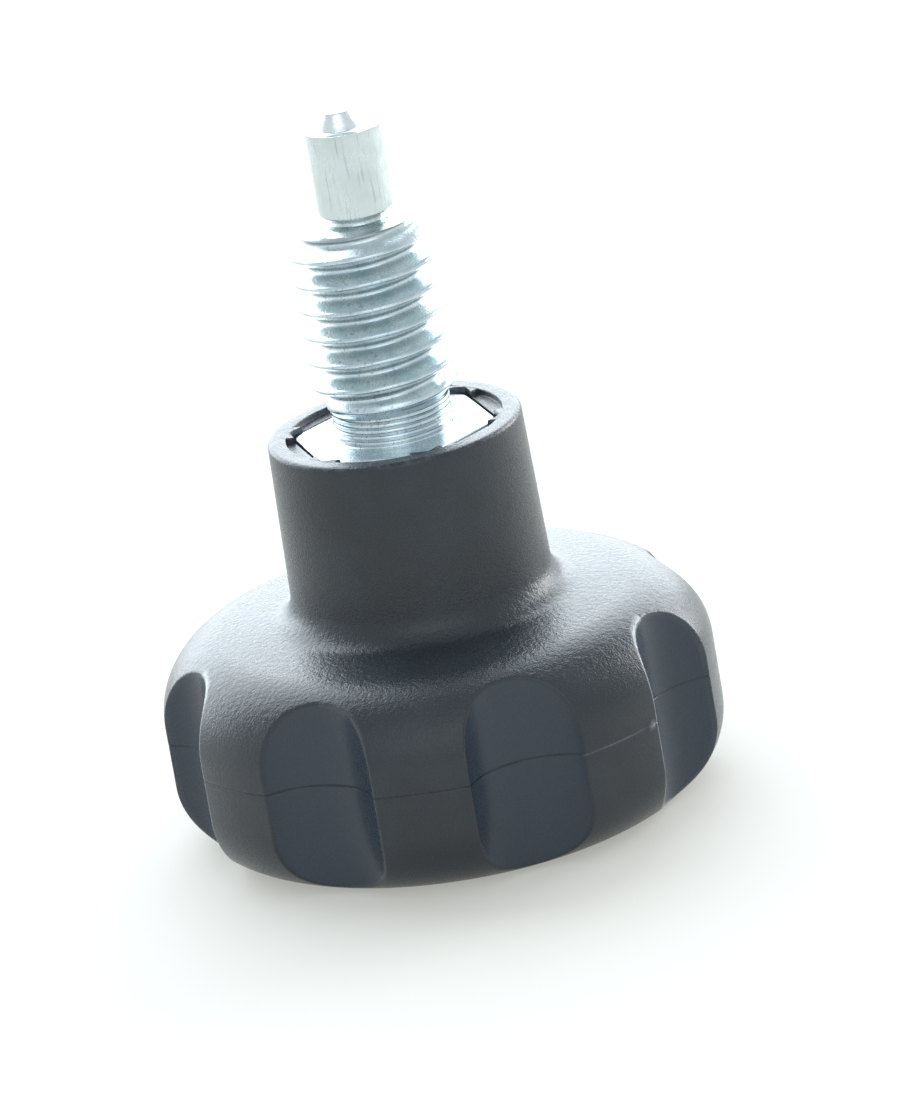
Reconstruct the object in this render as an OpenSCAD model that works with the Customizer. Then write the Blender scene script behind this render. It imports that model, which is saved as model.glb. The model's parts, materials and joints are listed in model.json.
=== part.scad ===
// Fluted clamping knob: a plastic grip and boss that hold a threaded steel stud by its hexagonal head.
// It stands on the flat face of its grip, with the stud pointing up along +Z.

/* [Grip] */
// Diameter over the lands
grip_d = 29; // [28:0.5:36]
// Height of the top face where it meets the boss
grip_h = 11.6; // [10.5:0.1:14.5]
// Fall of the top face towards the lands, in degrees
top_fall = 6; // [0:1:8]
// Radius of the shoulder between the top face and the lands
shoulder_r = 4.2; // [2:0.1:5]
// Radius of the rounding between the lands and the rest face
base_r = 3.7; // [2:0.1:4.5]

/* [Flutes] */
// Number of flutes around the grip
flute_count = 8; // [5:1:10]
// Depth of each flute below the lands
flute_depth = 2; // [1:0.1:2.6]
// Radius of each flute's floor
flute_r = 3.8; // [2.8:0.1:4.4]

/* [Boss] */
// Diameter at the rim
boss_d = 13.3; // [13:0.1:16]
// Height of the rim above the rest face
boss_h = 21.2; // [18:0.1:30]
// Draft of the side, in degrees
boss_draft = 1.4; // [0:0.2:3]
// Radius of the fillet at the foot
root_r = 1.5; // [0.5:0.1:1.8]
// Rounding of the rim's outer edge
rim_r = 0.25; // [0.1:0.05:0.5]

/* [Socket] */
// Gap between the mouth of the socket and each flat of the head
mouth_gap = 0.25; // [0.1:0.05:0.3]
// Depth of the widened mouth below the rim
mouth_depth = 1.2; // [0.6:0.1:2.5]
// Depth of the shallow recess beside each flat
recess_depth = 0.3; // [0.2:0.05:0.9]
// Wall between the recesses and the side of the boss, at the rim
recess_wall = 0.95; // [0.8:0.05:1.1]
// Width of the web left at each corner of the socket
recess_web = 1.7; // [1:0.1:2.5]

/* [Stud head] */
// Distance across the flats
head_af = 9.525; // [9:0.025:9.9]
// Thickness
head_t = 5.5; // [3:0.1:8]
// How far the rounding cuts back each corner
head_corner_cut = 0.15; // [0.05:0.05:0.4]
// Depth of the head's face below the rim
head_drop = 0.25; // [0:0.05:0.8]

/* [Stud shank] */
// Diameter of the plain run-out above the head
runout_d = 6.2; // [5.6:0.1:7.4]
// Height of the run-out
runout_h = 1.8; // [0.5:0.1:3]
// Diameter over the thread's crests
thread_d = 7.8; // [7.4:0.1:8]
// Length of the thread, with its end chamfer
thread_l = 9.7; // [6:0.1:25]
// Diameter of the thread's end face
thread_end_d = 6; // [4.5:0.1:6.4]

/* [Stud point] */
// Diameter of the relief neck
neck_d = 3; // [2:0.1:3.4]
// Height of the relief neck
neck_h = 0.45; // [0.3:0.05:2]
// Diameter of the plain pin
pin_d = 3.9; // [3.5:0.1:4.4]
// Length of the plain pin
pin_l = 4.6; // [2:0.1:12]
// Chamfer at both ends of the pin
pin_chamfer = 0.15; // [0.05:0.05:0.4]
// Diameter of the nib where it stands on the pin
nib_d = 2.5; // [1.5:0.1:3]
// Diameter of the nib's tip
nib_tip_d = 1.45; // [0.8:0.05:1.5]
// Height of the nib
nib_h = 0.9; // [0.4:0.1:2]

/* [Hidden] */
$fn = 96;
// How far a cutter runs past the surface that it opens
past = 1;

// Outline of the grip: centres of its two roundings
land_r = grip_d / 2;
boss_r = boss_d / 2;
boss_foot_r = boss_r + tan(boss_draft) * (boss_h - grip_h);
base_centre = [land_r - base_r, base_r];
shoulder_centre_r = land_r - shoulder_r;
shoulder_line_z = grip_h - tan(top_fall) * (shoulder_centre_r - boss_foot_r);
shoulder_centre = [shoulder_centre_r, shoulder_line_z - shoulder_r / cos(top_fall)];
shoulder_start = shoulder_centre + shoulder_r * [sin(top_fall), cos(top_fall)];

// Fillet at the foot of the boss: its circle touches the drafted side and the falling top face
side_offset_r = boss_r + tan(boss_draft) * boss_h + root_r / cos(boss_draft);
top_offset_z = grip_h + tan(top_fall) * boss_foot_r + root_r / cos(top_fall);
root_centre_r = (side_offset_r - tan(boss_draft) * top_offset_z) / (1 - tan(boss_draft) * tan(top_fall));
root_centre = [root_centre_r, top_offset_z - tan(top_fall) * root_centre_r];
root_on_side = root_centre - root_r * [cos(boss_draft), sin(boss_draft)];
root_on_top = root_centre - root_r * [sin(top_fall), cos(top_fall)];

// Rounding of the rim: its circle touches the drafted side and the rim's flat face
rim_centre = [boss_r + tan(boss_draft) * rim_r - rim_r / cos(boss_draft), boss_h - rim_r];
rim_on_side = rim_centre + rim_r * [cos(boss_draft), sin(boss_draft)];

// Heights of the stud's steps, each standing on the one before
head_z = boss_h - head_drop - head_t;
runout_z = head_z + head_t;
thread_z = runout_z + runout_h;
thread_end_z = thread_z + thread_l;
pin_z = thread_end_z + neck_h;
nib_z = pin_z + pin_l;
end_chamfer = (thread_d - thread_end_d) / 2;

head_corner_r = head_af / sqrt(3) - head_corner_cut;
mouth_af = head_af + 2 * mouth_gap;
recess_r = boss_r - recess_wall;

// A hexagonal prism on the XY plane, with a corner towards -Y
module hexagon(across_flats, height) {
    rotate(30) cylinder(r = across_flats / sqrt(3), h = height, $fn = 6);
}

// Half section of the grip, on the right of the axis
module grip_section() {
    polygon([
        [0, 0],
        [base_centre.x, 0],
        [land_r, base_centre.y],
        [land_r, shoulder_centre.y],
        shoulder_start,
        [boss_foot_r, grip_h],
        [0, grip_h]
    ]);
    translate(base_centre) circle(base_r);
    translate(shoulder_centre) circle(shoulder_r);
}

// Half section of the boss, with its foot fillet and its rounded rim
module boss_section() {
    polygon([
        [0, base_r],
        [boss_foot_r, base_r],
        [boss_foot_r, grip_h],
        rim_on_side,
        [rim_centre.x, boss_h],
        [0, boss_h]
    ]);
    translate(rim_centre) circle(rim_r);
    difference() {
        polygon([[boss_foot_r - root_r, grip_h - root_r], root_on_top, root_centre, root_on_side]);
        translate(root_centre) circle(root_r);
    }
}

// One straight flute, parallel to the axis and open at both faces of the grip
module flute() {
    translate([0, -(land_r - flute_depth + flute_r), -past])
        cylinder(r = flute_r, h = boss_h + 2 * past);
}

// The shallow recesses: a ring around the socket's mouth, interrupted by a web at each corner
module recesses() {
    translate([0, 0, boss_h - recess_depth])
        difference() {
            cylinder(r = recess_r, h = recess_depth + past);
            for (i = [0:2])
                rotate(60 * i)
                    translate([-recess_web / 2, -boss_d, -past])
                        cube([recess_web, 2 * boss_d, recess_depth + 3 * past]);
        }
}

// Hexagonal socket, closed at the head's seat and widened at its mouth
module socket() {
    translate([0, 0, head_z]) hexagon(head_af, head_t + head_drop + past);
    translate([0, 0, boss_h - mouth_depth]) hexagon(mouth_af, mouth_depth + past);
}

module knob() {
    color([0.17, 0.19, 0.22])
        difference() {
            rotate_extrude() {
                grip_section();
                boss_section();
            }
            for (i = [0:flute_count - 1])
                rotate(360 / flute_count * i) flute();
            socket();
            recesses();
        }
}

// Hexagonal head with rounded corners
module head() {
    translate([0, 0, head_z])
        intersection() {
            hexagon(head_af, head_t);
            cylinder(r = head_corner_r, h = head_t);
        }
}

// Half section of all that is turned on the head, from its seat in the head to the tip of the nib
module shank_section() {
    thread_r = thread_d / 2;
    pin_r = pin_d / 2;
    polygon([
        [0, head_z],
        [runout_d / 2, head_z],
        [runout_d / 2, thread_z],
        [thread_r, thread_z],
        [thread_r, thread_end_z - end_chamfer],
        [thread_end_d / 2, thread_end_z],
        [neck_d / 2, thread_end_z],
        [neck_d / 2, pin_z],
        [pin_r - pin_chamfer, pin_z],
        [pin_r, pin_z + pin_chamfer],
        [pin_r, nib_z - pin_chamfer],
        [pin_r - pin_chamfer, nib_z],
        [nib_d / 2, nib_z],
        [nib_tip_d / 2, nib_z + nib_h],
        [0, nib_z + nib_h]
    ]);
}

module stud() {
    color([0.78, 0.83, 0.86])
        union() {
            head();
            rotate_extrude() shank_section();
        }
}

knob();
stud();
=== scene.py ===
"""Looks of the fluted clamping knob: its moulded body, its threaded stud, their finishes and the studio."""
import json
import math

import bmesh
import bpy
import numpy as np
from mathutils import Euler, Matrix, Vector


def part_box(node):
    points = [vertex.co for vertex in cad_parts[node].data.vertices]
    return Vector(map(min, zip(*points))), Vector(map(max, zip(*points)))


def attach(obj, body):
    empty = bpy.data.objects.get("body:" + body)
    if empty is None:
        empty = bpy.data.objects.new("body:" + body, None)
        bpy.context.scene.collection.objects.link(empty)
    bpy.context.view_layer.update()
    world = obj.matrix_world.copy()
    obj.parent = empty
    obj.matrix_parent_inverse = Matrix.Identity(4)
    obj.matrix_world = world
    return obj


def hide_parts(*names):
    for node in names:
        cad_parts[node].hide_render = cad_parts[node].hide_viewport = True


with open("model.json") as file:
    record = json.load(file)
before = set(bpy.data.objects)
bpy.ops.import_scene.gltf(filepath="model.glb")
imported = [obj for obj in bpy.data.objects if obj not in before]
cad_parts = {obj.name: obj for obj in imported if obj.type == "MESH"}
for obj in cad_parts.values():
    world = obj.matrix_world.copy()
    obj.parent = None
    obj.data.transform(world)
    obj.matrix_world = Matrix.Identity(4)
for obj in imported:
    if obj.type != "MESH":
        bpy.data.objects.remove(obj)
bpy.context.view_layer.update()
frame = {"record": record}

MM = 0.001  # sizes below are in millimetres, as in the part's source
BODY = "root"
mounts = {m["name"]: m for m in frame["record"]["mounts"]}

# --- Sizes of the knob ---
RIM_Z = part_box("knob")[1].z / MM
LAND_R = 14.5
GRIP_H = 11.6
TOP_FALL = math.radians(6)
SHOULDER_R = 4.2
BASE_R = 3.7
FLUTES = 8
FLUTE_DEPTH = 2.0
FLUTE_R = 3.8
FLUTE_EDGE = 0.22      # how far the rounding of a flute's edge reaches
BOSS_R = 6.65
BOSS_DRAFT = math.radians(1.4)
ROOT_R = 1.5
RIM_R = 0.25
# Paleness of the flutes' edges, two to a flute, counted from the +X side of the flute on -Y: the 0.55 and
# 0.7 are painted highlights on the two edges that catch the light, the small values are light wear
EDGE_HIGHLIGHT_AND_WEAR = (0, 0.55, 0.06, 0.05, 0.08, 0.03, 0.08, 0.04, 0.06, 0.08, 0.04, 0.05, 0.7, 0, 0.05, 0)
SEAM_Z = 6.1           # height of the mould's parting line
SEAM_REACH = 0.045     # how far the line reaches up and down
SEAM_DEPTH = 0.05      # depth of the line's groove
LIT_SEAM_SIDE = math.radians(-67)   # the side where the parting line gets a painted highlight
# Flash left along the parting line: place around the axis in degrees, height, and width in degrees
FLASH = (
    (-59.3, 0.16, 0.5),
    (-61.2, 0.10, 0.35),
    (150, 0.07, 0.5),
    (20, 0.1, 0.4),
)
FLASH_REACH = 0.13     # how far the flash reaches up and down

# --- Sizes of the socket around the head ---
HEAD_AF = 9.525
HEAD_T = 5.5
HEAD_DROP = 0.25
MOUTH_GAP = 0.13       # half of the part's own gap, which would show as too broad a dark line
MOUTH_DEPTH = 1.2
RECESS_R = 5.7
RECESS_DEPTH = 0.3
RECESS_WEB = 1.7
WALL_SOFTNESS = 0.06   # width over which a recess's wall falls

# --- Sizes of the stud ---
THREAD_R = mounts["thread"]["dims"]["r_mm"]
PITCH = 25.4 / 18
THREAD_ROOT_R = THREAD_R - 0.6134 * PITCH
THREAD_END_R = 3.0
CREST_Z = 31.50         # height of the last full crest's centre, at the angle START
RUNOUT_R = 3.1
RUNOUT_H = 1.8
RING_PITCH = 0.31       # spacing of the run-out's fine rings
RING_DEPTH = 0.02
THREAD_GROWTH = 1.2 * PITCH   # height over which the thread grows out of the run-out
HEAD_CORNER_R = 5.35
HEAD_EDGE = 0.14        # rounding of the edge around the head's face
NECK_R = 1.5
NECK_H = 0.45
PIN_R = mounts["dog_point"]["dims"]["r_mm"]
NIB_R = 1.2
NIB_TIP_R = 0.78
NIB_H = 0.9
NIB_OFFSET = np.array([-0.15, 0.04, 0])   # the nib is parted off a little to one side
HEAD_TOP = RIM_Z - HEAD_DROP
THREAD_Z = HEAD_TOP + RUNOUT_H
TIP_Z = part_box("stud")[1].z / MM
NIB_Z = TIP_Z - NIB_H
PIN_L = 4.6
PIN_Z = NIB_Z - PIN_L
THREAD_END_Z = PIN_Z - NECK_H
SHEET_Z = THREAD_Z - 0.5   # where the helical rows begin, within the run-out

# --- Sampling ---
COLUMNS = 384          # around the knob: shared by 8 flutes and 6 sides of the socket
STUD_COLUMNS = 144
THREAD_STEPS = 22      # rows to a turn of the thread
BOSS_ROWS = 9          # rows up the side of the boss, over which the columns move from flutes to socket
BOSS_START_Z = 14.0
GATHERED = 3           # smallest half angle that the columns gather around, in degrees
RELAXED = 8.3          # what it grows by where no flute cuts the surface, in degrees
FAR = 1e3              # a radius beyond the whole object
START = -math.pi / 2   # a flute and a corner of the hexagon lie on -Y


def smooth_min(a, b, reach):
    """The smaller of a and b, rounded off where they are closer than reach."""
    h = np.clip(reach - np.abs(a - b), 0, None) / reach
    return np.minimum(a, b) - h * h * reach / 4


def smooth_step(x, low, high):
    """0 below low, 1 above high, and a smooth rise between them."""
    t = np.clip((x - low) / (high - low), 0, 1)
    return t * t * (3 - 2 * t)


def ripple(angle, seed):
    """A repeatable uneven value in -1..1 around the axis."""
    rng = np.random.default_rng(seed)
    total = np.zeros_like(angle)
    for turns in (2, 5, 9, 17, 31, 53):
        total += np.sin(turns * angle + rng.uniform(0, 2 * math.pi)) / 6
    return total * 1.6


def hexagon_radius(angle, across_flats, corner):
    """Radius of a hexagon with rounded corners, one corner at angle START."""
    nearest = []
    for side in range(6):
        normal = START + math.radians(30 + 60 * side)
        cosine = np.cos(angle - normal)
        nearest.append(np.where(cosine > 0.3, across_flats / 2 / np.maximum(cosine, 0.3), FAR))
    nearest = np.sort(np.array(nearest), axis=0)
    return smooth_min(nearest[0], nearest[1], corner)


def add_mesh(name, points, faces, attributes=None):
    """A smooth-shaded mesh object; points are in millimetres."""
    mesh = bpy.data.meshes.new(name)
    mesh.from_pydata((np.asarray(points) * MM).tolist(), [], faces)
    mesh.validate()
    for key, values in (attributes or {}).items():
        layer = mesh.attributes.new(key, "FLOAT", "POINT")
        layer.data.foreach_set("value", np.asarray(values, np.float32))
    mesh.shade_smooth()
    piece = bpy.data.objects.new(name, mesh)
    bpy.context.scene.collection.objects.link(piece)
    return piece


def ring_points(radius, z, angle):
    """Points of one ring around the axis; radius and z are single values or one for each angle."""
    radius = np.broadcast_to(radius, angle.shape)
    z = np.broadcast_to(z, angle.shape)
    return np.stack([radius * np.cos(angle), radius * np.sin(angle), z], -1)


def band_faces(low, high, columns):
    """Quads between two rings, given the index of each ring's first point."""
    faces = []
    for j in range(columns):
        k = (j + 1) % columns
        faces.append((low + j, low + k, high + k, high + j))
    return faces


def ring_faces(rows, columns, first=0):
    """Quads between neighbouring rings, facing outwards where the rings go up."""
    faces = []
    for i in range(rows - 1):
        low = first + i * columns
        faces += band_faces(low, low + columns, columns)
    return faces


def cap_faces(pole, ring, columns, upward):
    """Triangles from a ring to its pole."""
    faces = []
    for j in range(columns):
        k = (j + 1) % columns
        faces.append((pole, ring + j, ring + k) if upward else (pole, ring + k, ring + j))
    return faces


# --- The knob ---

def flute_radius(angle):
    """Distance from the axis to the floor of the nearest flute, or far away between flutes."""
    centre = LAND_R - FLUTE_DEPTH + FLUTE_R
    sector = 2 * math.pi / FLUTES
    off = (angle - START + sector / 2) % sector - sector / 2
    inside = FLUTE_R ** 2 - (centre * np.sin(off)) ** 2
    return np.where(inside > 0, centre * np.cos(off) - np.sqrt(np.maximum(inside, 0)), FAR)


def edge_highlight_and_wear(angle):
    """How pale the nearest edge of a flute is painted, 0 to 1: a painted highlight on two edges, light wear
    on the others.
    """
    side = np.floor((angle - START) / (math.pi / FLUTES)).astype(int) % (2 * FLUTES)
    return np.array(EDGE_HIGHLIGHT_AND_WEAR)[side]


def flute_half_angle(radius):
    """Half the angle that a flute takes at this radius of the grip's outline."""
    centre = LAND_R - FLUTE_DEPTH + FLUTE_R
    cosine = (radius ** 2 + centre ** 2 - FLUTE_R ** 2) / (2 * radius * centre)
    return math.acos(cosine) if cosine < 1 else 0.0


def grip_columns(half_angle):
    """Angles of the columns, gathered along the flutes' edges."""
    inner = np.array([0, .16, .32, .47, .6, .71, .8, .87, .92, .95, .97, .985, .995]) * half_angle
    outer = np.array([.005, .016, .032, .055, .085, .13, .2, .31, .46, .64, .82, 1.0])
    outer = half_angle + outer[:-1] * (math.pi / FLUTES - half_angle)
    half = np.concatenate([inner, outer])
    edge = math.pi / FLUTES
    sector = np.concatenate([half, [edge], 2 * edge - half[:0:-1]])
    turns = START + 2 * edge * np.arange(FLUTES)[:, None]
    return (turns + sector[None, :]).ravel()


def socket_columns():
    """Angles of the columns, gathered along the corners of the socket and the ends of the recesses."""
    half = np.radians([0, .25, .6, 1.1, 1.8, 2.7, 3.8, 5, 6.1, 7, 7.6, 8, 8.3, 8.55, 8.8, 9.05, 9.3, 9.55,
                       9.8, 10.05, 10.35, 10.8, 11.5, 12.5, 13.8, 15.3, 17, 19, 21.2, 23.5, 25.8, 28])
    edge = math.radians(30)
    sector = np.concatenate([half, [edge], 2 * edge - half[:0:-1]])
    turns = START + 2 * edge * np.arange(6)[:, None]
    return (turns + sector[None, :]).ravel()


def arc(centre, radius, start, stops):
    """Points on an arc; stops are degrees from start, which is measured from the +R direction."""
    angle = start + np.radians(stops)
    return [(centre[0] + radius * math.cos(a), centre[1] + radius * math.sin(a)) for a in angle]


def spaced(*spans):
    """Values over several spans, each given as (first, last, step)."""
    parts = [np.linspace(a, b, max(1, round((b - a) / step)), endpoint=False) for a, b, step in spans]
    return np.concatenate(parts + [[spans[-1][1]]])


def grip_outline():
    """Rows from the centre of the rest face out, up the land and in to the foot of the boss."""
    foot_r = BOSS_R + math.tan(BOSS_DRAFT) * (RIM_Z - GRIP_H)
    base = (LAND_R - BASE_R, BASE_R)
    shoulder_r = LAND_R - SHOULDER_R
    line_z = GRIP_H - math.tan(TOP_FALL) * (shoulder_r - foot_r)
    shoulder = (shoulder_r, line_z - SHOULDER_R / math.cos(TOP_FALL))
    rows = [(r, 0.0) for r in (2.5, 5.0, 7.5, 9.5)]
    rows += arc(base, BASE_R, -math.pi / 2, spaced((0, 22, 4), (22, 36, 0.9), (36, 90, 2.4)))
    seam = SEAM_Z + np.array([-.3, -.12, -.07, -.04, -.015, .015, .04, .07, .12, .3])
    rows += [(LAND_R, z) for z in (4.3, 5.0, *seam, 6.7, 7.0)]
    fall = math.degrees(TOP_FALL)
    rows += arc(shoulder, SHOULDER_R, 0, spaced((0, 48, 2.2), (48, 62, 0.8), (62, 90 - fall, 2.6)))
    side = BOSS_R + math.tan(BOSS_DRAFT) * RIM_Z + ROOT_R / math.cos(BOSS_DRAFT)
    top = GRIP_H + math.tan(TOP_FALL) * foot_r + ROOT_R / math.cos(TOP_FALL)
    slopes = math.tan(BOSS_DRAFT) * math.tan(TOP_FALL)
    root_r = (side - math.tan(BOSS_DRAFT) * top) / (1 - slopes)
    root = (root_r, top - math.tan(TOP_FALL) * root_r)
    last = rows[-1]
    meet = (root[0] - ROOT_R * math.sin(TOP_FALL), root[1] - ROOT_R * math.cos(TOP_FALL))
    for t in (0.3, 0.6, 0.85):
        rows.append((last[0] + t * (meet[0] - last[0]), last[1] + t * (meet[1] - last[1])))
    turn = -(90 - fall - math.degrees(BOSS_DRAFT))
    rows += arc(root, ROOT_R, -math.pi / 2 - TOP_FALL, np.linspace(0, turn, 11))
    return rows


def boss_outline():
    """Rows up the drafted side of the boss and around its rim."""
    centre_r = BOSS_R + math.tan(BOSS_DRAFT) * RIM_R - RIM_R / math.cos(BOSS_DRAFT)
    centre = (centre_r, RIM_Z - RIM_R)
    rows = []
    for z in np.linspace(BOSS_START_Z, RIM_Z - RIM_R - 0.4, BOSS_ROWS):
        rows.append((BOSS_R + math.tan(BOSS_DRAFT) * (RIM_Z - z), z))
    rows += arc(centre, RIM_R, BOSS_DRAFT, np.linspace(0, 90 - math.degrees(BOSS_DRAFT), 7))
    return rows


def recess_fall(angle, radius):
    """How far the recessed top lies below the rim."""
    sector = math.pi / 3
    off = (angle - START + sector / 2) % sector - sector / 2
    from_web = np.abs(radius * np.sin(off)) - RECESS_WEB / 2
    inside = smooth_step(RECESS_R - radius, 0, WALL_SOFTNESS) * smooth_step(from_web, 0, WALL_SOFTNESS)
    return RECESS_DEPTH * inside


def build_knob():
    """One closed surface: rest face, fluted grip, boss, rim, recesses and socket."""
    points = []
    marks = {"flute": [], "seam": [], "edge": []}

    def add_ring(radius, angle, z, in_flute=0.0, painted_seam_shade=0.0, on_edge=0.0):
        points.append(ring_points(radius, z, angle))
        for mark, value in zip(marks.values(), (in_flute, painted_seam_shade, on_edge)):
            mark.append(np.broadcast_to(value, angle.shape))

    even = grip_columns(math.radians(GATHERED + RELAXED))
    floor_r = LAND_R - FLUTE_DEPTH
    for radius, z in grip_outline():
        if radius > floor_r:
            angle = grip_columns(max(flute_half_angle(radius), math.radians(GATHERED)))
        else:
            relax = smooth_step(floor_r - radius, 0, 3.5)
            angle = grip_columns(math.radians(GATHERED + RELAXED * relax))
        floor = flute_radius(angle)
        cut = smooth_min(radius, floor, FLUTE_EDGE)
        # Pale flute edges: a painted highlight on two edges, light wear on the rest
        rounded = (1 - smooth_step(np.abs(radius - floor), 0.14, 0.34)) * edge_highlight_and_wear(angle)
        depth = smooth_step(radius - cut, 0.04, 0.22)
        from_seam = z - SEAM_Z
        line = math.exp(-(from_seam / SEAM_REACH) ** 2)
        # Where the parting line catches the light and gets a painted highlight instead of painted shade
        lit_seam_side = smooth_step(np.cos(angle - LIT_SEAM_SIDE), 0.85, 0.97) * (1 - depth)
        uneven = 0.75 + 0.5 * ripple(angle, 3)
        flash = 0
        for place, size, width in FLASH:
            away = (angle - math.radians(place) + math.pi) % (2 * math.pi) - math.pi
            spread = (away / math.radians(width)) ** 2
            flash += size * np.exp(-spread - (from_seam / FLASH_REACH) ** 2)
        # Pale marks: the flute edges, a painted highlight along the parting line's lit side, and paler flash
        pale = np.maximum(rounded, 0.24 * line * lit_seam_side * uneven)
        pale = np.maximum(pale, np.minimum(flash * 4, 0.6))
        # Painted shade along the parting line's groove, except on its lit side
        seam_groove_shade = line * (1 - lit_seam_side)
        add_ring(cut - SEAM_DEPTH * line * uneven + flash, angle, z, depth, seam_groove_shade, pale)

    socket = socket_columns()
    for i, (radius, z) in enumerate(boss_outline()):
        blend = smooth_step(i / (BOSS_ROWS - 1), 0, 1)
        add_ring(radius, even + (socket - even) * blend, z)

    mouth = hexagon_radius(socket, HEAD_AF + 2 * MOUTH_GAP, 0.25)
    inward = [6.15, 5.9, 5.76, RECESS_R, 5.685, 5.67, 5.655, 5.64, 5.6, 5.4, 5.2, 5.1]
    for i, radius in enumerate(inward):
        ring = np.maximum(radius, mouth + 0.03 + 0.004 * (len(inward) - i))
        wear = 0.012 * ripple(socket + i, 11)
        add_ring(ring, socket, RIM_Z - recess_fall(socket, ring) + wear * (ring < 6))
    lip = RIM_Z - recess_fall(socket, mouth + 0.03)
    add_ring(mouth + 0.012, socket, lip - 0.006)
    add_ring(mouth, socket, lip - 0.03)
    add_ring(mouth, socket, RIM_Z - RECESS_DEPTH - 0.1)
    add_ring(mouth, socket, RIM_Z - MOUTH_DEPTH)
    seat = hexagon_radius(socket, HEAD_AF + 0.04, 0.2)
    add_ring(seat, socket, RIM_Z - MOUTH_DEPTH)
    add_ring(seat, socket, HEAD_TOP - HEAD_T)

    rows = len(points)
    all_points = np.concatenate([*points, [[0, 0, 0]], [[0, 0, HEAD_TOP - HEAD_T]]])
    bottom = rows * COLUMNS
    faces = ring_faces(rows, COLUMNS)
    faces += cap_faces(bottom, 0, COLUMNS, upward=False)
    faces += cap_faces(bottom + 1, bottom - COLUMNS, COLUMNS, upward=True)
    attributes = {key: np.concatenate([*values, [0, 0]]) for key, values in marks.items()}
    return add_mesh("knob_body", all_points, faces, attributes)


# --- The stud ---

def thread_radius(along):
    """Radius of the rolled thread at a distance along the axis from the centre of a crest."""
    x = np.abs((along / PITCH + 0.5) % 1 - 0.5) * PITCH
    flank = THREAD_R - (x - PITCH / 18) / math.tan(math.radians(30))
    crest = smooth_min(flank, THREAD_R, 0.10)
    return -smooth_min(-crest, -THREAD_ROOT_R, 0.22)


def thread_surface(angle, z):
    """Radius over the threaded length: it grows out of the run-out and ends in the chamfer."""
    full = thread_radius(z - CREST_Z - PITCH * (angle - START) / (2 * math.pi))
    grown = smooth_step(z - SHEET_Z, 0, THREAD_GROWTH)
    rings = RING_DEPTH * np.sin(2 * math.pi * z / RING_PITCH) * (1 - grown)
    radius = RUNOUT_R + (full - RUNOUT_R) * grown + rings
    chamfer = THREAD_END_R + THREAD_END_Z - z
    return smooth_min(radius, chamfer, 0.06)


def lower_flank_shade(angle, z):
    """Painted shade mask: 1 where a lower flank of the thread runs into its root, 0 elsewhere."""
    along = z - CREST_Z - PITCH * (angle - START) / (2 * math.pi)
    below = (0.5 - (along / PITCH + 0.5) % 1) * PITCH
    grown = smooth_step(z - SHEET_Z, 0.2 * PITCH, THREAD_GROWTH)
    return smooth_step(below, 0.34, 0.5) * (1 - smooth_step(below, 0.6, 0.69)) * grown


def turned_rows(outline, angle):
    """A ring for each (radius, height) of the outline."""
    return [ring_points(r, z, angle) for r, z in outline]


def head_rows(angle):
    """Rings of the hexagonal head, from its seat up and in over its face."""
    radius = smooth_min(hexagon_radius(angle, HEAD_AF, 0.12), HEAD_CORNER_R, 0.12)
    seat_z = HEAD_TOP - HEAD_T
    rows = [ring_points(radius - 0.15, seat_z, angle), ring_points(radius, seat_z + 0.15, angle)]
    for turn in np.radians([0, 20, 40, 60, 78, 90]):
        inset = HEAD_EDGE * (1 - math.cos(turn))
        drop = HEAD_EDGE * (1 - math.sin(turn))
        rows.append(ring_points(radius - inset, HEAD_TOP - drop, angle))
    rows.append(ring_points(radius - 0.2, HEAD_TOP, angle))
    return rows


def runout_rows(angle):
    """Rings across the head's face and up the finely ringed run-out, to where the thread's sheet begins."""
    outline = [(r, HEAD_TOP) for r in (4.4, 3.6, RUNOUT_R + 0.1)]
    outline.append((RUNOUT_R + 0.03, HEAD_TOP + 0.03))
    rng = np.random.default_rng(5)
    for z in np.arange(HEAD_TOP + 0.1, SHEET_Z - 0.02, 0.045):
        groove = RING_DEPTH * math.sin(2 * math.pi * z / RING_PITCH) + rng.uniform(-0.01, 0.01)
        outline.append((RUNOUT_R + groove, z))
    rows = turned_rows(outline, angle)
    rows.append(thread_row(angle, np.full(angle.shape, SHEET_Z)))
    return rows


def thread_row(angle, z):
    return ring_points(thread_surface(angle, z), z, angle)


def helix_heights(angle):
    """Height of each point of the thread's sheet, whose rows climb one pitch to a turn."""
    turns = math.ceil((THREAD_END_Z - SHEET_Z) / PITCH) + 2
    heights = []
    for i in range(turns * THREAD_STEPS + 1):
        z = SHEET_Z + PITCH * (i / THREAD_STEPS - 1 + (angle - START) / (2 * math.pi))
        heights.append(np.clip(z, SHEET_Z, THREAD_END_Z))
    return heights


def helix_faces(rows, columns, first):
    """Quads of the thread's sheet, whose last column joins the first one a turn further up."""
    faces = []
    for i in range(rows - 1):
        for j in range(columns):
            here = first + i * columns + j
            if j + 1 < columns:
                right = here + 1
            elif i + THREAD_STEPS + 1 < rows:
                right = first + (i + THREAD_STEPS) * columns
            else:
                continue
            faces.append((here, right, right + columns, here + columns))
    return faces


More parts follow.
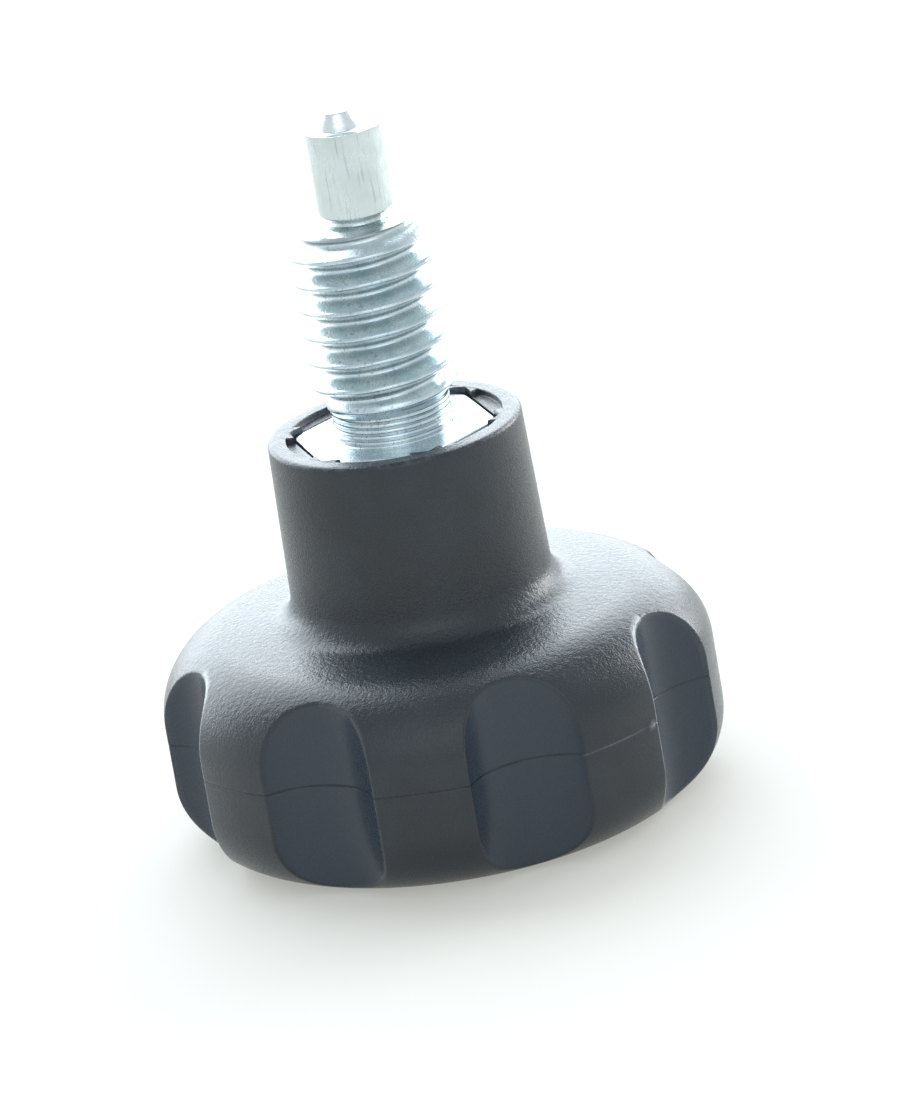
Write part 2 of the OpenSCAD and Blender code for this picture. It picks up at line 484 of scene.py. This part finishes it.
def pin_rows(angle):
    """Rings of the relief neck and of the plain pin, with the burr at its end."""
    outline = [
        (NECK_R + 0.08, THREAD_END_Z),
        (NECK_R, THREAD_END_Z + 0.08),
        (NECK_R, PIN_Z - 0.06),
        (NECK_R + 0.05, PIN_Z),
        (PIN_R - 0.12, PIN_Z),
        (PIN_R - 0.04, PIN_Z + 0.03),
    ]
    outline += [(PIN_R, PIN_Z + up) for up in (0.09, 0.14, 1.5, 3)]
    outline += [(PIN_R, NIB_Z - down) for down in (0.3, 0.2)]
    burr = 0.05 + 0.03 * ripple(angle, 8)
    rows = turned_rows(outline, angle)
    rows.append(ring_points(PIN_R + burr * 0.3, NIB_Z - 0.1, angle))
    rows.append(ring_points(PIN_R + burr, NIB_Z - 0.03, angle))
    rows.append(ring_points(PIN_R + burr * 0.8, NIB_Z, angle))
    rows.append(ring_points(PIN_R - 0.06, NIB_Z - 0.02, angle))
    return rows


def nib_rows(angle):
    """Rings of the nib, which stands a little to one side."""
    outline = [
        (NIB_R + 0.02, NIB_Z - 0.02),
        (NIB_R, NIB_Z),
        (NIB_R - 0.02, NIB_Z + 0.08),
        (NIB_R - 0.08, NIB_Z + 0.3),
        (NIB_TIP_R + 0.06, TIP_Z - 0.14),
        (NIB_TIP_R + 0.02, TIP_Z - 0.06),
        (NIB_TIP_R - 0.04, TIP_Z - 0.01),
        (NIB_TIP_R - 0.1, TIP_Z),
    ]
    return [ring + NIB_OFFSET for ring in turned_rows(outline, angle)]


def build_stud():
    """One closed surface: head, run-out, thread, neck, pin and nib."""
    columns = STUD_COLUMNS
    angle = START + 2 * math.pi * np.arange(columns) / columns
    low = head_rows(angle) + runout_rows(angle)
    helix = helix_heights(angle)
    sheet = [thread_row(angle, z) for z in helix]
    high = pin_rows(angle) + nib_rows(angle)
    poles = np.array([[0, 0, HEAD_TOP - HEAD_T], [0, 0, TIP_Z]])
    thread_top = thread_row(angle, np.full(columns, THREAD_END_Z))
    points = np.concatenate([*low, *sheet, *high, poles, thread_top])

    sheet_first = len(low) * columns
    high_first = sheet_first + len(sheet) * columns
    poles_first = high_first + len(high) * columns
    top_first = poles_first + len(poles)
    faces = ring_faces(len(low), columns)
    faces += helix_faces(len(sheet), columns, sheet_first)
    faces += ring_faces(len(high), columns, high_first)
    faces += cap_faces(poles_first, 0, columns, upward=False)
    faces += cap_faces(poles_first + 1, poles_first - columns, columns, upward=True)
    faces += band_faces(top_first, high_first, columns)

    # Where the thread's lower flanks get painted shade
    under = np.zeros(len(points))
    under[sheet_first:high_first] = np.concatenate([lower_flank_shade(angle, z) for z in helix])
    piece = add_mesh("stud_body", points, faces, {"under": under})
    weld(piece, 1e-7)
    return piece


def weld(piece, distance):
    """Joins points that lie together and removes the faces that this leaves without area."""
    bm = bmesh.new()
    bm.from_mesh(piece.data)
    bmesh.ops.remove_doubles(bm, verts=bm.verts, dist=distance)
    bmesh.ops.dissolve_degenerate(bm, edges=bm.edges, dist=distance)
    loose = [v for v in bm.verts if not v.link_faces]
    bmesh.ops.delete(bm, geom=loose, context="VERTS")
    bm.to_mesh(piece.data)
    bm.free()
    piece.data.shade_smooth()


# --- Materials ---

def node(tree, kind, **settings):
    """A new node; each setting goes to the input of that name, or else to the node's own property."""
    n = tree.nodes.new(kind)
    for key, value in settings.items():
        if key in n.inputs:
            n.inputs[key].default_value = value
        else:
            setattr(n, key, value)
    return n


def new_material(name):
    """A material, its node tree, its shader, and the place on the object that its textures read."""
    material = bpy.data.materials.new(name)
    material.use_nodes = True
    tree = material.node_tree
    shader = tree.nodes["Principled BSDF"]
    place = node(tree, "ShaderNodeTexCoord")
    return material, tree, shader, place.outputs["Object"]


def ramp(tree, source, low, high, dark, bright):
    """Maps source from low..high to dark..bright."""
    n = node(tree, "ShaderNodeMapRange", interpolation_type="SMOOTHSTEP")
    n.inputs["From Min"].default_value = low
    n.inputs["From Max"].default_value = high
    n.inputs["To Min"].default_value = dark
    n.inputs["To Max"].default_value = bright
    tree.links.new(source, n.inputs["Value"])
    return n.outputs["Result"]


def noise(tree, place, size_mm, detail=2.0, stretch=(1, 1, 1)):
    """Noise with features of about size_mm; stretch squeezes or lengthens it along X, Y and Z."""
    mapping = node(tree, "ShaderNodeMapping")
    mapping.inputs["Scale"].default_value = stretch
    tree.links.new(place, mapping.inputs["Vector"])
    n = node(tree, "ShaderNodeTexNoise", Scale=1 / (size_mm * MM), Detail=detail)
    tree.links.new(mapping.outputs["Vector"], n.inputs["Vector"])
    return n.outputs["Fac"]


def math_node(tree, operation, a, b):
    """The result of operation on a and b, each a number or a node's output."""
    n = node(tree, "ShaderNodeMath", operation=operation)
    for socket, value in zip(n.inputs, (a, b)):
        if isinstance(value, (int, float)):
            socket.default_value = value
        else:
            tree.links.new(value, socket)
    return n.outputs[0]


def mix_colour(tree, factor, a, b):
    """Colour a where factor is 0 and b where it is 1."""
    n = node(tree, "ShaderNodeMix", data_type="RGBA")
    colours = [socket for socket in n.inputs if socket.type == "RGBA"]
    for socket, value in zip(colours, (a, b)):
        if isinstance(value, tuple):
            socket.default_value = (*value, 1)
        else:
            tree.links.new(value, socket)
    tree.links.new(factor, n.inputs[0])
    return next(socket for socket in n.outputs if socket.type == "RGBA")


def attribute(tree, name):
    """A value that the mesh holds for each of its points."""
    return node(tree, "ShaderNodeAttribute", attribute_name=name).outputs["Fac"]


def add_bump(tree, shader, height, distance_mm, strength=1.0):
    n = node(tree, "ShaderNodeBump", Strength=strength, Distance=distance_mm * MM)
    tree.links.new(height, n.inputs["Height"])
    tree.links.new(n.outputs["Normal"], shader.inputs["Normal"])


def knob_plastic():
    """Dark blue-grey plastic: spark-eroded grain, smoother and bluer in the flutes, painted shade along the
    parting line's groove, and pale marks on the flute edges and the seam that are partly painted highlight.
    """
    material, tree, shader, place = new_material("knob_plastic")
    axes = node(tree, "ShaderNodeSeparateXYZ")
    tree.links.new(place, axes.inputs[0])
    height = axes.outputs["Z"]
    in_flute = attribute(tree, "flute")
    painted_seam_shade = attribute(tree, "seam")
    cloud = noise(tree, place, 4.0, 3.0)
    clouded = ramp(tree, cloud, 0.35, 0.65, 0, 1)
    land = mix_colour(tree, clouded, (0.021, 0.026, 0.031), (0.027, 0.033, 0.039))
    colour = mix_colour(tree, in_flute, land, (0.030, 0.041, 0.056))
    patchy = ramp(tree, noise(tree, place, 1.2), 0.3, 0.6, 0.5, 1)
    # Pale marks from the mesh: painted highlights on two flute edges and on the parting line's lit side,
    # light wear on the other edges, and paler flash
    edge = math_node(tree, "MULTIPLY", attribute(tree, "edge"), patchy)
    colour = mix_colour(tree, edge, colour, (0.42, 0.45, 0.48))
    at_rim = ramp(tree, height, (RIM_Z - 0.25) * MM, (RIM_Z - 0.05) * MM, 0, 0.28)
    specks = ramp(tree, noise(tree, place, 0.4, 4.0), 0.42, 0.70, 0, 1)
    rubbed = math_node(tree, "MULTIPLY", at_rim, specks)
    colour = mix_colour(tree, rubbed, colour, (0.16, 0.17, 0.18))
    # Painted shade in the parting line's groove, broken up by noise
    broken = ramp(tree, noise(tree, place, 0.9), 0.35, 0.6, 0.45, 1)
    line = math_node(tree, "MULTIPLY", painted_seam_shade, broken)
    colour = mix_colour(tree, line, colour, (0.008, 0.010, 0.014))
    tree.links.new(colour, shader.inputs["Base Color"])
    grain = noise(tree, place, 0.10, 2.0)
    coarse = noise(tree, place, 0.28, 2.0)
    above_lands = ramp(tree, height, 8.6 * MM, 10.6 * MM, 0, 1)
    below_boss = ramp(tree, height, 12 * MM, 13.5 * MM, 1, 0)
    foot = math_node(tree, "MULTIPLY", above_lands, below_boss)
    rough = ramp(tree, grain, 0.3, 0.7, 0.24, 0.34)
    tree.links.new(rough, shader.inputs["Roughness"])
    shader.inputs["IOR"].default_value = 1.44
    depth = ramp(tree, foot, 0, 1, 0.35, 1.5)
    relief = math_node(tree, "ADD", grain, math_node(tree, "MULTIPLY", coarse, depth))
    fade = math_node(tree, "SUBTRACT", 1.0, math_node(tree, "MULTIPLY", in_flute, 0.85))
    fade = math_node(tree, "MULTIPLY", fade, ramp(tree, height, 6.5 * MM, 9.5 * MM, 0.4, 1))
    add_bump(tree, shader, math_node(tree, "MULTIPLY", relief, fade), 0.026)
    return material


def stud_zinc():
    """Pale blue zinc plating: clouded and pitted, with painted shade on the thread's lower flanks, scratched
    along the paler pin.
    """
    material, tree, shader, place = new_material("stud_zinc")
    shader.inputs["Metallic"].default_value = 1.0
    axes = node(tree, "ShaderNodeSeparateXYZ")
    tree.links.new(place, axes.inputs[0])
    height = axes.outputs["Z"]
    point = ramp(tree, height, (THREAD_END_Z - 0.9) * MM, THREAD_END_Z * MM, 0, 1)
    cloud = noise(tree, place, 1.2, 4.0)
    clouded = ramp(tree, cloud, 0.3, 0.7, 0, 1)
    plated = mix_colour(tree, clouded, (0.50, 0.60, 0.64), (0.64, 0.71, 0.73))
    turned = mix_colour(tree, clouded, (0.56, 0.63, 0.63), (0.64, 0.71, 0.71))
    base = mix_colour(tree, point, plated, turned)
    tip = ramp(tree, height, (NIB_Z - 0.05) * MM, (NIB_Z + 0.1) * MM, 0, 1)
    base = mix_colour(tree, tip, base, (0.76, 0.79, 0.79))
    side = ramp(tree, axes.outputs["X"], -3 * MM, 2 * MM, 0.5, 0.12)
    pit = ramp(tree, noise(tree, place, 0.20, 2.0, (1, 1, 0.8)), 0.61, 0.68, 0, 1)
    on_thread = math_node(tree, "SUBTRACT", 1.0, point)
    pit = math_node(tree, "MULTIPLY", pit, math_node(tree, "MULTIPLY", side, on_thread))
    colour = mix_colour(tree, pit, base, (0.16, 0.20, 0.22))
    streak = noise(tree, place, 0.12, 2.0, (1, 1, 0.07))
    scratch = math_node(tree, "MULTIPLY", ramp(tree, streak, 0.56, 0.74, 0, 0.38), point)
    colour = mix_colour(tree, scratch, colour, (0.30, 0.33, 0.34))
    # Painted shade on the thread's lower flanks, which face down away from the light
    dark = math_node(tree, "MULTIPLY", attribute(tree, "under"), 0.65)
    colour = mix_colour(tree, dark, colour, (0.14, 0.18, 0.20))
    tree.links.new(colour, shader.inputs["Base Color"])
    dull = ramp(tree, cloud, 0.3, 0.7, 0.16, 0.24)
    rough = math_node(tree, "ADD", dull, ramp(tree, streak, 0.3, 0.7, 0, 0.08))
    tree.links.new(rough, shader.inputs["Roughness"])
    relief = math_node(tree, "SUBTRACT", math_node(tree, "MULTIPLY", streak, 0.5), pit)
    add_bump(tree, shader, relief, 0.012)
    return material


def floor_white():
    """White ground that glows a little, so that it meets the white background without an edge."""
    material, _, shader, _ = new_material("floor_white")
    shader.inputs["Base Color"].default_value = (0.36, 0.355, 0.34, 1)
    shader.inputs["Roughness"].default_value = 0.8
    shader.inputs["Emission Color"].default_value = (1.0, 1.0, 0.93, 1)
    shader.inputs["Emission Strength"].default_value = 0.36
    return material


# --- Studio ---

# Angles are in degrees and distances in millimetres
VIEW_AZIMUTH = -15.31
VIEW_ELEVATION = 18.94
VIEW_ROLL = 9.87
VIEW_DISTANCE = 493.9
VIEW_TARGET = (2.21, -0.61, 13.42)
LENS = 307.6
FLOOR_HALF = 1500
BACK_AZIMUTH = VIEW_AZIMUTH + 180 + 13   # the bright wall stands behind the knob
BACK_LIGHT = 4.3
FRONT_LIGHT = 0.8      # a weak light over the camera
LOW_LIGHT = 0.9        # the room, near the floor
TOP_LIGHT = 0.75       # the room, overhead
LAMP_WIDTH = 220
LAMP_HEIGHT = 260
LAMP_ELEVATION = 16
LAMP_DISTANCE = 450
LAMP_AIM = (0, 0, 15)


def softbox(name, azimuth, power):
    """A rectangular lamp beside the bright wall, aimed at the knob."""
    lamp = bpy.data.lights.new(name, "AREA")
    lamp.shape = "RECTANGLE"
    lamp.size = LAMP_WIDTH * MM
    lamp.size_y = LAMP_HEIGHT * MM
    lamp.energy = power
    holder = bpy.data.objects.new(name, lamp)
    place = Vector(around(azimuth, LAMP_ELEVATION, LAMP_DISTANCE))
    holder.location = place * MM
    holder.rotation_euler = (Vector(LAMP_AIM) - place).to_track_quat("-Z", "Y").to_euler()
    bpy.context.scene.collection.objects.link(holder)


def around(azimuth, elevation, distance):
    """A place around the axis; azimuth 0 is on the -Y side, as the views count it."""
    a = math.radians(azimuth)
    e = math.radians(elevation)
    x = distance * math.sin(a) * math.cos(e)
    y = -distance * math.cos(a) * math.cos(e)
    return (x, y, distance * math.sin(e))


def facing(tree, heading, azimuth, elevation):
    """How well a ray's heading agrees with a direction: 1 straight at it, 0 across it."""
    n = node(tree, "ShaderNodeVectorMath", operation="DOT_PRODUCT")
    n.inputs[1].default_value = around(azimuth, elevation, 1)
    tree.links.new(heading, n.inputs[0])
    return n.outputs["Value"]


def add_camera():
    """A long lens from the front left and above, rolled so that the stud leans to the left."""
    camera = bpy.data.cameras.new("camera")
    camera.lens = LENS
    camera.sensor_fit = "AUTO"
    camera.clip_start = 0.01
    camera.clip_end = 20
    holder = bpy.data.objects.new("camera", camera)
    target = Vector(VIEW_TARGET)
    place = target + Vector(around(VIEW_AZIMUTH, VIEW_ELEVATION, VIEW_DISTANCE))
    look = (target - place).to_track_quat("-Z", "Y").to_matrix()
    roll = Euler((0, 0, -math.radians(VIEW_ROLL))).to_matrix()
    holder.location = place * MM
    holder.rotation_euler = (look @ roll).to_euler()
    bpy.context.scene.collection.objects.link(holder)
    bpy.context.scene.camera = holder


def add_floor():
    half = FLOOR_HALF
    points = [(-half, -half, 0), (half, -half, 0), (half, half, 0), (-half, half, 0)]
    floor = add_mesh("floor", points, [(0, 1, 2, 3)])
    floor.data.materials.append(floor_white())


def add_studio():
    """A bright wall behind the knob in a pale room, a weak light over the camera and two lamps."""
    world = bpy.data.worlds.new("studio")
    bpy.context.scene.world = world
    world.use_nodes = True
    tree = world.node_tree
    sky = tree.nodes["Background"]
    sky.inputs["Color"].default_value = (0.86, 0.94, 1.0, 1)
    heading = node(tree, "ShaderNodeTexCoord").outputs["Generated"]
    axes = node(tree, "ShaderNodeSeparateXYZ")
    tree.links.new(heading, axes.inputs[0])
    height = axes.outputs["Z"]
    wall = ramp(tree, facing(tree, heading, BACK_AZIMUTH, 25), 0.66, 0.76, 0, BACK_LIGHT)
    wall = math_node(tree, "MULTIPLY", wall, ramp(tree, height, 0.05, 0.6, 1.12, 0.98))
    room = ramp(tree, height, 0.5, 0.9, LOW_LIGHT, TOP_LIGHT)
    front = ramp(tree, facing(tree, heading, VIEW_AZIMUTH, 36), 0.86, 0.97, 0, FRONT_LIGHT)
    light = math_node(tree, "ADD", math_node(tree, "ADD", wall, room), front)
    tree.links.new(light, sky.inputs["Strength"])
    softbox("right_light", BACK_AZIMUTH - 71, 1.6)
    softbox("left_light", BACK_AZIMUTH + 62, 0.12)
    view = bpy.context.scene.view_settings
    view.view_transform = "Standard"
    view.look = "None"
    view.exposure = 0.0


add_camera()
knob = build_knob()
knob.data.materials.append(knob_plastic())
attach(knob, BODY)
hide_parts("knob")

stud = build_stud()
stud.data.materials.append(stud_zinc())
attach(stud, BODY)
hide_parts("stud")

add_floor()
add_studio()
